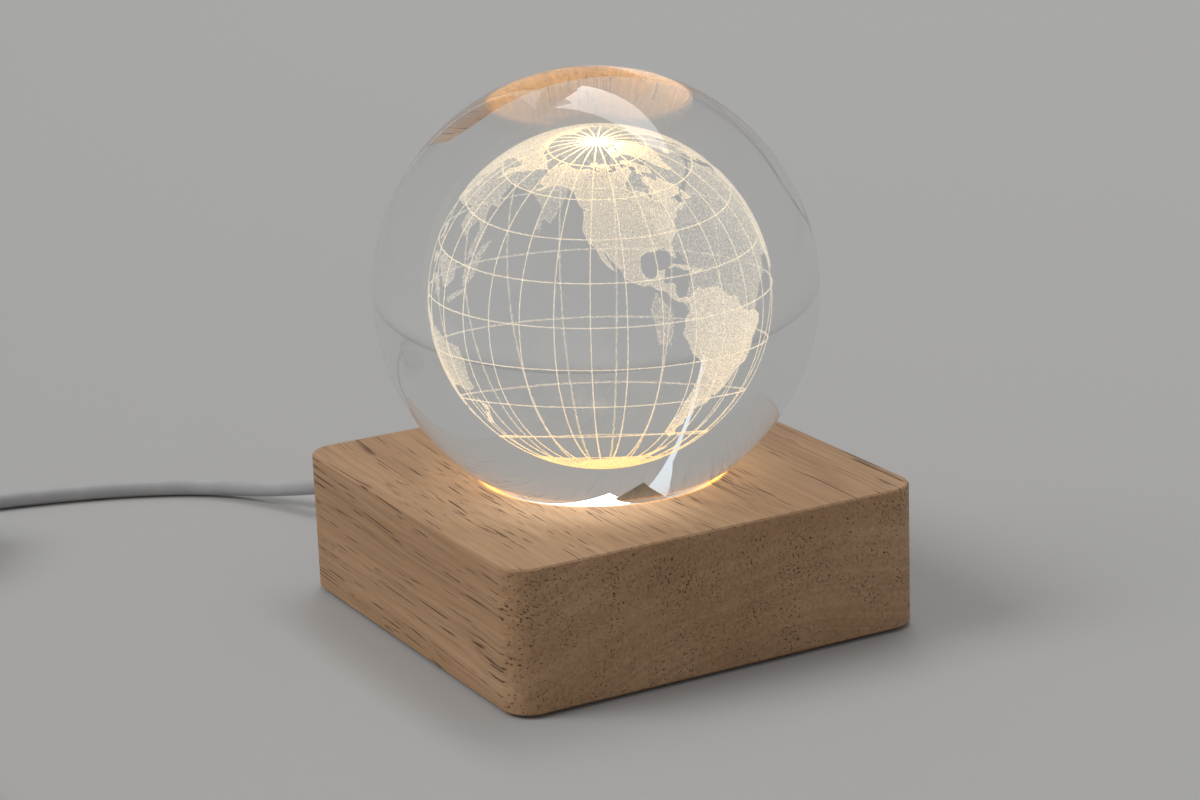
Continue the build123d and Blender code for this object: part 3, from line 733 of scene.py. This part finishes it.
LAND = {
    "north_america": [
        (-168, 65.6), (-161, 66.3), (-166, 68.3), (-156.5, 71.3), (-141, 69.6), (-135, 69.3), (-128, 70.4),
        (-124, 69.8), (-115, 68.4), (-108, 68), (-102, 67.8), (-96, 68.2), (-94, 71.8), (-90, 69),
        (-85, 69.6), (-81.5, 69), (-82, 66.8), (-87, 64.5), (-94, 61), (-94.5, 58.7), (-92.5, 57),
        (-87, 56), (-82.3, 55.2), (-82.2, 53), (-79.8, 51.3), (-78.8, 52.5), (-79.5, 54.7), (-76.7, 56.8),
        (-78.3, 60), (-77.5, 62.4), (-73.5, 62.3), (-70, 61), (-69.5, 58.9), (-66, 58.7), (-64.5, 60.3),
        (-61.5, 57), (-57.5, 54.5), (-55.8, 52.3), (-60, 50.2), (-66.5, 50.2), (-70, 47.5), (-64.8, 49),
        (-64.5, 46.5), (-61, 46), (-65.5, 43.6), (-67, 45), (-70.3, 43.6), (-70.7, 42), (-74, 40.6),
        (-75.8, 37), (-76, 35.2), (-81, 31.8), (-80.3, 27.5), (-80.3, 25.4), (-81.7, 26), (-82.8, 28),
        (-84, 30), (-88, 30.4), (-89.5, 29.2), (-94, 29.6), (-97.3, 27.8), (-97.6, 25), (-97.5, 21.5),
        (-96, 19.2), (-94.5, 18.2), (-91.5, 18.6), (-90.4, 21), (-87, 21.5), (-87.6, 19), (-88.3, 17),
        (-88.8, 15.8), (-86, 15.9), (-83.2, 15), (-83.6, 12.5), (-83.6, 11), (-82, 9), (-79.5, 9.5),
        (-77.3, 8.6), (-78, 7.4), (-80.3, 7.5), (-83, 8.4), (-85.7, 10.2), (-87.5, 12.9), (-91.5, 14),
        (-94.5, 16.2), (-97.5, 15.9), (-101.8, 17.8), (-105.5, 20), (-105.3, 22), (-108.5, 25.3),
        (-111, 28), (-112.8, 30.5), (-114.8, 31.7), (-112.7, 28.2), (-111.3, 26), (-109.6, 23),
        (-112, 24.8), (-115, 28), (-117.1, 32.5), (-120.6, 34.6), (-122.5, 37.5), (-124.3, 40.4),
        (-124, 46), (-124.7, 48.4), (-122.8, 49), (-127, 51), (-130.3, 54.5), (-134, 58), (-138, 59.2),
        (-144, 60.1), (-149, 60), (-152, 59.3), (-154, 58.3), (-158.5, 56), (-163.5, 54.8), (-160, 56.3),
        (-157.3, 58.7), (-162, 58.7), (-165, 61.5), (-161.5, 64.3),
    ],
    "greenland": [
        (-73, 78.2), (-60, 82), (-35, 83.6), (-20, 81.5), (-20, 76), (-22, 72), (-25, 70), (-32, 68),
        (-40, 65), (-43.5, 60), (-48, 61.2), (-52, 65), (-54, 69.5), (-57, 74), (-66, 76),
    ],
    "baffin_island": [
        (-85, 73.5), (-79, 73.5), (-72, 71.3), (-67, 69), (-62, 66.5), (-65, 63), (-72, 65), (-78, 65),
        (-73, 68.5), (-82, 70),
    ],
    "victoria_island": [(-117, 73), (-105, 73.2), (-101, 69.5), (-113, 68.7), (-117, 70)],
    "banks_island": [(-124, 74), (-116, 73.8), (-121, 71.2), (-125, 72)],
    "ellesmere_island": [(-90, 76.5), (-79, 76.5), (-70, 81.8), (-65, 83), (-85, 82), (-92, 80)],
    "newfoundland": [(-59.3, 47.8), (-55.5, 51.5), (-53, 47), (-56, 46.8)],
    "cuba": [
        (-84.9, 21.9), (-82, 23.1), (-77, 21.8), (-74.2, 20.2), (-77.7, 19.9), (-78, 20.7), (-82, 22.4),
    ],
    "hispaniola": [(-74.4, 18.5), (-73, 19.9), (-68.5, 18.7), (-71.5, 17.8)],
    "south_america": [
        (-77.3, 8.6), (-75, 10.8), (-71.8, 12.3), (-71.3, 11), (-68, 11), (-62, 10.6), (-60, 8.5),
        (-57, 6), (-51.5, 4.3), (-50, 0.5), (-48, -1), (-44, -2.8), (-40, -2.9), (-35.3, -5.3),
        (-34.9, -8), (-38.8, -13.5), (-39.2, -18), (-41, -22), (-44.5, -23.2), (-48.5, -26),
        (-48.7, -28.5), (-52, -32.5), (-54.5, -34.8), (-58.3, -34), (-57, -36.5), (-58, -38.3),
        (-62.2, -39), (-65, -41), (-63.7, -42.6), (-67.3, -46), (-65.8, -48), (-69, -51), (-68.3, -52.6),
        (-65.3, -54.8), (-69.5, -55.4), (-74.5, -52.5), (-75.5, -47), (-73.5, -42), (-73.5, -37.2),
        (-71.5, -31), (-70.3, -23), (-70.3, -18.4), (-76, -14), (-78.8, -8.5), (-81.3, -5), (-80, -2.5),
        (-80, 0.8), (-77.3, 4), (-77.8, 7),
    ],
    "eurasia": [
        (-9.3, 38.7), (-8.9, 43.2), (-1.7, 43.4), (-1.2, 46), (-4.7, 48.4), (1.6, 50.8), (4.5, 52.5),
        (8.2, 54), (8.2, 57), (10.6, 57.5), (10, 54.5), (14, 54), (19, 54.4), (21, 57), (24, 58.8),
        (30, 59.9), (23, 60), (21.3, 62), (25, 65), (22, 65.8), (17.3, 61), (18, 59), (14.5, 55.5),
        (12.5, 56), (10.7, 59), (7, 58), (5.2, 61), (10.5, 64.3), (16, 68.5), (25.5, 71), (31, 70.3),
        (41, 67.5), (38, 64), (44, 66.2), (44, 68), (54, 68.4), (60.5, 69.2), (68, 68.3), (67, 72.5),
        (73, 72), (80, 73.5), (87, 75), (104, 77.7), (113, 73.7), (127, 73), (140, 72.5), (160, 70),
        (170, 70), (180, 69), (190, 66), (182, 64.7), (178, 62.5), (170, 60), (163.5, 58), (162.5, 56),
        (157, 51.2), (155.7, 56.5), (163, 61.5), (156, 61.8), (142.5, 59.3), (135.5, 54.8), (141, 52.5),
        (140.5, 48), (135, 43.5), (130.5, 42.3), (127.5, 39.7), (129.4, 36), (126.3, 34.6), (126.7, 37.7),
        (124.5, 40), (121.3, 39), (118, 39), (122.4, 37), (119.3, 35), (121.9, 31.5), (119.5, 26),
        (114, 22.4), (109.8, 20.5), (105.7, 19), (109, 13), (106.7, 10.2), (104.8, 8.7), (105, 10.5),
        (100.7, 13.3), (99.8, 9.5), (103.3, 4), (104.2, 1.4), (101.3, 2.8), (98.3, 8.2), (98.6, 13),
        (97.3, 16.8), (94.4, 16), (94, 19), (91.5, 22.6), (87, 21.3), (82.3, 16.7), (80.2, 13.3),
        (79.8, 10.3), (77.6, 8.1), (76, 10.5), (73.5, 16), (72.7, 21), (69.5, 22.3), (66.8, 24.8),
        (61, 25.2), (57, 26.8), (51.5, 27.8), (48.5, 30), (50, 26.5), (51.5, 24.8), (54, 24.2),
        (56.3, 26.3), (59.8, 22.5), (55.3, 17.5), (52, 15.6), (45, 12.8), (43.3, 13), (42.6, 16.5),
        (39, 21), (35, 28), (34.3, 31), (36, 36), (30.5, 36.5), (27.5, 37), (26.3, 39.5), (31.5, 41.3),
        (36, 41.5), (41.5, 41.5), (37.5, 45), (39, 47), (35, 46), (33.5, 44.5), (33, 46.2), (30.5, 46),
        (28, 43), (28.5, 41.2), (26, 40.8), (23.5, 40.3), (24, 38), (22.5, 36.5), (20, 39.5), (19.3, 42),
        (13.7, 45.3), (12.3, 44.5), (14, 42.5), (18.5, 40), (17, 38.9), (15.7, 38), (16, 40), (12.3, 41.7),
        (8.8, 44.4), (6, 43.1), (3, 43.2), (3.2, 41.8), (-0.3, 39.5), (-2, 36.8), (-5.5, 36), (-8.9, 37),
    ],
    "britain": [
        (-5, 50.1), (1.3, 51.2), (1.7, 52.7), (-2, 55.8), (-3, 58.5), (-5, 58.5), (-5, 55), (-3, 53.4),
        (-5, 51.7), (-3, 51.2),
    ],
    "ireland": [(-10, 51.7), (-6.3, 52.2), (-6, 54.5), (-8, 55.2), (-10, 54)],
    "iceland": [(-24, 65.5), (-18, 66.3), (-14, 65), (-18.5, 63.5), (-22.5, 64)],
    "honshu": [
        (130.2, 31.5), (131.2, 31.3), (131.9, 33.2), (136, 33.5), (140.8, 35.8), (142, 39.5), (141, 41.3),
        (140, 40.3), (138.5, 37.3), (136, 36.2), (131, 34.4), (129.8, 33.3),
    ],
    "hokkaido": [(140, 42), (141.8, 45.4), (145.3, 43.4), (143.2, 42)],
    "sakhalin": [(142, 46), (142, 54), (143.5, 51), (143, 47)],
    "luzon": [(120.3, 16), (121, 18.5), (122.2, 18.3), (121.7, 15), (123.9, 13), (121, 13.7)],
    "mindanao": [(122, 7), (123.7, 8.6), (126.2, 9.3), (126, 6.5), (125.3, 5.8)],
    "borneo": [
        (109, 1.5), (113, 3), (116.8, 6.9), (119, 5), (117.7, 1), (116.2, -3.8), (114.5, -4), (110.2, -2.8),
    ],
    "sumatra": [(95.3, 5.6), (98.5, 4), (104, -1), (106, -3), (105.8, -5.8), (102.3, -4), (98.7, 1.5)],
    "java": [(105.3, -6.8), (108.5, -6.7), (114.5, -7.8), (114.3, -8.7), (106.5, -7.4)],
    "sulawesi": [
        (119.5, -5.5), (119, -2.8), (120, 1), (125, 1.5), (121, 0.4), (123, -1), (121.2, -2),
        (122.5, -4.5), (120.5, -3), (120.4, -5.6),
    ],
    "new_guinea": [
        (131, -0.8), (134, -0.8), (135, -3.3), (138, -1.7), (144.5, -3.8), (147.8, -6), (150.8, -10.3),
        (147, -9.4), (143.5, -8.7), (138, -8.4), (138, -5.5), (133, -4), (131.3, -2.8),
    ],
    "australia": [
        (114, -22), (116.7, -20.7), (121, -19.5), (124, -16.5), (126.8, -14), (129.5, -15), (131, -12.2),
        (136.8, -12.2), (135.8, -15), (139.3, -17.5), (141.5, -15.5), (142.5, -10.8), (145.3, -15),
        (146.3, -19), (149.5, -22), (153, -25.5), (153.4, -29), (151, -34), (149.9, -37.5), (146.3, -39),
        (143.5, -38.8), (140.5, -38), (138.5, -35.5), (137.7, -33), (135.7, -34.9), (132, -32),
        (126, -32.3), (123.5, -34), (118, -35), (115.2, -34.2), (115.7, -31.8), (113.5, -26.5),
    ],
    "tasmania": [(144.7, -40.8), (148.3, -41), (147, -43.6)],
    "new_zealand_north": [(172.8, -34.5), (175.5, -36.8), (178.3, -37.8), (175.3, -41.4), (174, -39)],
    "new_zealand_south": [(172.8, -40.6), (174.2, -41.8), (170.7, -45.9), (168.3, -46.6), (166.5, -45.8)],
    "africa": [
        (-6, 35.8), (0, 36.2), (10, 37.3), (11, 33.7), (15.5, 32.3), (20, 30.8), (20.5, 32.7), (25, 31.6),
        (32.3, 31.3), (34, 27), (37.2, 21), (39.3, 15.6), (43, 12), (44, 10.5), (51.2, 12), (48, 5),
        (42, -1), (39, -6), (40.6, -14), (35, -20), (35.4, -24), (32.8, -27), (30.5, -31), (26, -34),
        (20, -34.8), (18.3, -33.5), (15, -26.5), (12, -18), (13.6, -12), (12, -5), (9, -0.7), (9.5, 4),
        (4.5, 6.3), (-2, 4.8), (-7.7, 4.4), (-13.3, 8.8), (-17, 14.7), (-16.3, 19), (-17, 21),
        (-13, 27.8), (-9.7, 30),
    ],
    "madagascar": [(49.3, -12), (50.4, -15.8), (47.2, -25), (44, -25), (43.5, -21.5), (44.5, -16.2)],
    "ceylon": [(80, 9.7), (81.8, 7), (80.5, 6)],
    "antarctica": [
        (-180, -78), (-158, -77.5), (-150, -77.2), (-135, -74.5), (-120, -74), (-100, -72.5), (-80, -73.3),
        (-68, -70), (-62, -64.5), (-57, -63.3), (-60, -68), (-62, -74), (-75, -77.5), (-60, -77),
        (-40, -78), (-28, -76), (-10, -71.2), (10, -70), (35, -69), (50, -66.8), (70, -69.5),
        (80, -67.5), (110, -66), (140, -66.8), (160, -69.5), (170, -71.5), (165, -77.5), (180, -78),
        (180, -90), (-180, -90),
    ],
}

# The engraver's specks and the spacing of their rows
SPECK_RADIUS = 0.070 * MM
SPECK_SIZES = (0.7, 1.25)
LAND_SPACING = 0.118 * MM
LINE_SPACING = 0.042 * MM
LINE_WIDTH = 0.16 * MM
COAST_SPACING = 0.085 * MM
SHELL_DEPTH = 0.06 * MM

# The same in degrees on the globe, and how far in degrees a speck strays from its place
LINE_STEP = np.degrees(LINE_SPACING / GLOBE_RADIUS)
SPREAD = np.degrees(LINE_WIDTH / GLOBE_RADIUS) / 2
LAND_STRAY = 0.09
COAST_STRAY = 0.2
GOLDEN_ANGLE = 137.50776405

# Latitudes where lines and specks end, and where the outline of the ice only closes itself
LINE_END = 89.5
SPECK_END = 89.9
ICE_CLOSING = -78

# Where the pieces of land are parted: a latitude on both sides, and two longitudes
POLAR_LIMIT = 62
WEST_LIMIT = -20
EAST_LIMIT = 62
draw = np.random.default_rng(7)


def on_globe(longitude, latitude):
    """Points on the engraved sphere for longitudes and latitudes in degrees."""
    turn = GLOBE_TURN + np.radians(longitude)
    rise = np.radians(latitude)
    unit = np.stack([np.cos(rise) * np.cos(turn), np.cos(rise) * np.sin(turn), np.sin(rise)], axis=-1)
    tilt_x, tilt_y = GLOBE_TILT
    lean = np.array(Matrix.Rotation(tilt_y, 3, "Y") @ Matrix.Rotation(tilt_x, 3, "X"))
    return unit @ lean.T * GLOBE_RADIUS + np.array(GLOBE_CENTRE)


def narrowing(latitude, least):
    """How much shorter a degree of longitude is there than at the equator, with a least value."""
    return np.maximum(np.cos(np.radians(latitude)), least)


def sides(outline):
    """The sides of a closed outline, each as two points."""
    return zip(outline, outline[1:] + outline[:1])


def inside(outline, longitude, latitude):
    """Which points lie inside a closed outline, by counting the sides east of each."""
    found = np.zeros(len(longitude), bool)
    for (one_x, one_y), (other_x, other_y) in sides(outline):
        if one_y == other_y:
            continue
        spans = (one_y > latitude) != (other_y > latitude)
        crossing = one_x + (latitude - one_y) * (other_x - one_x) / (other_y - one_y)
        found ^= spans & (longitude < crossing)
    return found


def land_specks():
    """Specks spread evenly over all the land."""
    count = int(4 * pi * GLOBE_RADIUS**2 / LAND_SPACING**2)
    index = np.arange(count) + 0.5
    latitude = np.degrees(np.arcsin(1 - 2 * index / count))
    longitude = (index * GOLDEN_ANGLE) % 360 - 180
    longitude = longitude + draw.normal(0, LAND_STRAY, count) / narrowing(latitude, least=0.05)
    latitude = np.clip(latitude + draw.normal(0, LAND_STRAY, count), -SPECK_END, SPECK_END)
    land = np.zeros(count, bool)
    for outline in LAND.values():
        for wrap in (0, 360):
            land |= inside(outline, longitude + wrap, latitude)
    return longitude[land], latitude[land]


def coast_specks():
    """Specks in a line along every coast."""
    longitudes, latitudes = [], []
    for outline in LAND.values():
        for (one_x, one_y), (other_x, other_y) in sides(outline):
            if one_y <= ICE_CLOSING and other_y <= ICE_CLOSING:
                continue
            shrink = cos(radians((one_y + other_y) / 2))
            degrees_long = sqrt(((other_x - one_x) * shrink) ** 2 + (other_y - one_y) ** 2)
            length = radians(degrees_long) * GLOBE_RADIUS
            share = np.arange(0, 1, COAST_SPACING / max(length, COAST_SPACING))
            longitudes.append(one_x + share * (other_x - one_x))
            latitudes.append(one_y + share * (other_y - one_y))
    longitude = np.concatenate(longitudes)
    latitude = np.concatenate(latitudes)
    longitude = longitude + draw.normal(0, COAST_STRAY, len(longitude))
    latitude = np.clip(latitude + draw.normal(0, COAST_STRAY, len(latitude)), -SPECK_END, SPECK_END)
    return longitude, latitude


def meridian_specks():
    """Specks along the meridians, spread over the width of a line."""
    longitudes, latitudes = [], []
    for meridian in range(-180, 180, MERIDIAN_STEP):
        latitude = np.arange(-LINE_END, LINE_END, LINE_STEP)
        across = draw.uniform(-SPREAD, SPREAD, len(latitude))
        longitudes.append(meridian + across / narrowing(latitude, least=0.03))
        latitudes.append(latitude)
    return np.concatenate(longitudes), np.concatenate(latitudes)


def parallel_specks():
    """Specks along the parallels, spread over the width of a line."""
    longitudes, latitudes = [], []
    for parallel in range(-90 + PARALLEL_STEP, 90, PARALLEL_STEP):
        longitude = np.arange(-180, 180, LINE_STEP / cos(radians(parallel)))
        longitudes.append(longitude)
        latitudes.append(parallel + draw.uniform(-SPREAD, SPREAD, len(longitude)))
    return np.concatenate(longitudes), np.concatenate(latitudes)


def speck_cloud(name, longitude, latitude):
    """One mesh of small four-sided specks, each turned its own way by a random quaternion."""
    count = len(longitude)
    centre = on_globe(longitude, latitude)
    out = (centre - np.array(GLOBE_CENTRE)) / GLOBE_RADIUS
    centre = centre + out * draw.uniform(-0.5, 0.5, (count, 1)) * SHELL_DEPTH
    turn = draw.normal(size=(count, 4))
    turn /= np.linalg.norm(turn, axis=1, keepdims=True)
    real, axis = turn[:, :1, None], turn[:, None, 1:]
    corner = np.array([(1, 1, 1), (1, -1, -1), (-1, 1, -1), (-1, -1, 1)]) / sqrt(3)
    corner = np.broadcast_to(corner, (count, 4, 3))
    axis = np.broadcast_to(axis, (count, 4, 3))
    turned = corner + 2 * np.cross(axis, np.cross(axis, corner) + real * corner)
    radius = SPECK_RADIUS * draw.uniform(*SPECK_SIZES, (count, 1, 1))
    places = (centre[:, None, :] + turned * radius).reshape(-1, 3)
    side = np.array([(0, 1, 2), (0, 3, 1), (0, 2, 3), (1, 3, 2)])
    faces = (side[None] + 4 * np.arange(count)[:, None, None]).reshape(-1, 3)
    mesh = bpy.data.meshes.new(name)
    mesh.from_pydata(places.tolist(), [], faces.tolist())
    piece = bpy.data.objects.new(name, mesh)
    bpy.context.scene.collection.objects.link(piece)
    wear(piece, finish["engraved_specks"])
    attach(piece, "ball")


def engrave_land():
    """The land in four pieces: what lies round the poles, and the rest from west to east."""
    longitude, latitude = land_specks()
    polar = np.abs(latitude) > POLAR_LIMIT
    west = longitude < WEST_LIMIT
    east = longitude >= EAST_LIMIT
    speck_cloud("engraved_land_polar", longitude[polar], latitude[polar])
    for name, chosen in (("west", west), ("middle", ~west & ~east), ("east", east)):
        chosen = chosen & ~polar
        speck_cloud(f"engraved_land_{name}", longitude[chosen], latitude[chosen])


speck_cloud("engraved_meridians", *meridian_specks())
speck_cloud("engraved_parallels", *parallel_specks())
engrave_land()
speck_cloud("engraved_coasts", *coast_specks())


# The small lamps' windows: a disc that stands out of the lamp's top a little, with a raised middle
WINDOW_RADIUS = 1.08 * MM
WINDOW_THICKNESS = 0.12 * MM
WINDOW_SINK = 0.08 * MM
DOME_INSET = 0.45 * MM
DOME_RISE = 0.05 * MM


def lamp_window(lamp):
    """A low yellow dome in the round window of one lamp."""
    low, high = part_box(lamp)
    middle = (low + high) / 2
    deselect()
    bpy.ops.mesh.primitive_cylinder_add(vertices=24, radius=WINDOW_RADIUS, depth=WINDOW_THICKNESS,
                                        location=(middle.x, middle.y, high.z - WINDOW_SINK))
    window = bpy.context.object
    window.name = f"{lamp}_window"
    settle(window)
    bpy.ops.object.mode_set(mode="EDIT")
    bpy.ops.mesh.select_all(action="DESELECT")
    bpy.ops.object.mode_set(mode="OBJECT")
    for face in window.data.polygons:
        face.select = face.normal.z > 0.9
    bpy.ops.object.mode_set(mode="EDIT")
    bpy.ops.mesh.inset(thickness=DOME_INSET, depth=DOME_RISE)
    bpy.ops.object.mode_set(mode="OBJECT")
    wear(window, finish["lamp_window"])
    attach(window, "base")


for lamp in lamps:
    lamp_window(lamp)


# The floor and the even surround
FLOOR_SIZE = 8
FLOOR_GREY = (0.46, 0.455, 0.45)
FAR_GREY = (0.37, 0.366, 0.36)
FILL = 0.36


def make_floor():
    """A wide pale floor."""
    deselect()
    bpy.ops.mesh.primitive_plane_add(size=FLOOR_SIZE, location=(0, 0, 0))
    floor = bpy.context.object
    floor.name = "floor"
    material, tree, surface = new_material("pale_floor")
    principled(tree, surface, Base_Color=FLOOR_GREY, Roughness=0.8)
    wear(floor, material)


def make_surround():
    """An even pale surround, and the same grey as the floor where it shows in the ball or behind."""
    world = bpy.data.worlds.new("surround")
    bpy.context.scene.world = world
    world.use_nodes = True
    tree = world.node_tree
    tree.nodes.clear()
    output = tree.nodes.new("ShaderNodeOutputWorld")
    lighting = node(tree, "ShaderNodeBackground", Color=WHITE, Strength=FILL)
    seen = node(tree, "ShaderNodeBackground", Color=FAR_GREY, Strength=1.0)
    path = tree.nodes.new("ShaderNodeLightPath")
    shown = path.outputs["Is Camera Ray"]
    for other in ("Is Glossy Ray", "Is Transmission Ray"):
        shown = number(tree, "MAXIMUM", shown, path.outputs[other])
    blend = node(tree, "ShaderNodeMixShader", Fac=shown)
    tree.links.new(lighting.outputs[0], blend.inputs[1])
    tree.links.new(seen.outputs[0], blend.inputs[2])
    tree.links.new(blend.outputs[0], output.inputs["Surface"])


# The soft lights and a dim card, with corners in metres across and up from where the axis meets each
SOFTBOX_CORNERS = [(0.36, -0.52), (0.614, 0.284), (-0.92, 1.24), (-1.40, 1.08)]
STRIP_CORNERS = [
    (0.032, -0.52), (0.048, -0.52), (0.020, -0.266), (0.001, -0.09), (-0.007, 0.114), (0.06, 0.42),
    (0.12, 0.66), (0.16, 0.94), (-0.12, 0.94), (-0.10, 0.66), (-0.077, 0.42), (-0.047, 0.114),
    (-0.023, -0.09), (0.0, -0.266),
]
SHADE_CORNERS = [
    (-0.146, -0.042), (-0.106, -0.155), (-0.069, -0.240), (-0.037, -0.293), (0.005, -0.206),
    (0.063, -0.100), (0.138, 0.049), (0.230, 0.293), (0.139, 0.264), (0.061, 0.186),
    (-0.010, 0.122), (-0.083, 0.049),
]


def towards(azimuth, elevation):
    """The direction at an azimuth and an elevation."""
    return Vector((cos(azimuth) * cos(elevation), sin(azimuth) * cos(elevation), sin(elevation)))


def softbox(name, azimuth, elevation, distance, corners, radiance, colour=WHITE):
    """A flat soft light that faces the ball, seen in glass and gloss but not by the camera."""
    away = towards(azimuth, elevation)
    across = Vector((-sin(azimuth), cos(azimuth), 0))
    rise = away.cross(across)
    places = [BALL_CENTRE + away * distance + across * x + rise * y for x, y in corners]
    mesh = bpy.data.meshes.new(name)
    mesh.from_pydata(places, [], [tuple(range(len(places)))])
    piece = bpy.data.objects.new(name, mesh)
    bpy.context.scene.collection.objects.link(piece)
    material, tree, surface = new_material(name)
    glow = node(tree, "ShaderNodeEmission", Color=colour, Strength=radiance)
    tree.links.new(glow.outputs[0], surface)
    wear(piece, material)
    piece.visible_camera = False
    return piece


def daylight(name, azimuth, elevation, spread, strength):
    """Soft light from far away, which falls alike on the whole floor and leaves no highlight."""
    light = bpy.data.lights.new(name, "SUN")
    light.angle = spread
    light.energy = strength
    lamp = bpy.data.objects.new(name, light)
    bpy.context.scene.collection.objects.link(lamp)
    lamp.rotation_euler = (-towards(azimuth, elevation)).to_track_quat("-Z", "Y").to_euler()
    lamp.visible_glossy = False
    lamp.visible_transmission = False


make_floor()
make_surround()
softbox("softbox", azimuth=radians(142), elevation=radians(52), distance=2.3,
        corners=SOFTBOX_CORNERS, radiance=3.6)
softbox("window_strip", azimuth=radians(168), elevation=radians(20), distance=1.3,
        corners=STRIP_CORNERS, radiance=0.95, colour=(0.86, 0.94, 1.0))
shade = softbox("shade_card", azimuth=radians(164), elevation=radians(46), distance=1.27,
                corners=SHADE_CORNERS, radiance=0.07, colour=(1.0, 0.72, 0.40))
shade.visible_diffuse = False
shade.visible_shadow = False
daylight("day", azimuth=radians(-112), elevation=radians(42), spread=radians(30), strength=1.25)

bpy.context.scene.view_settings.view_transform = "Standard"
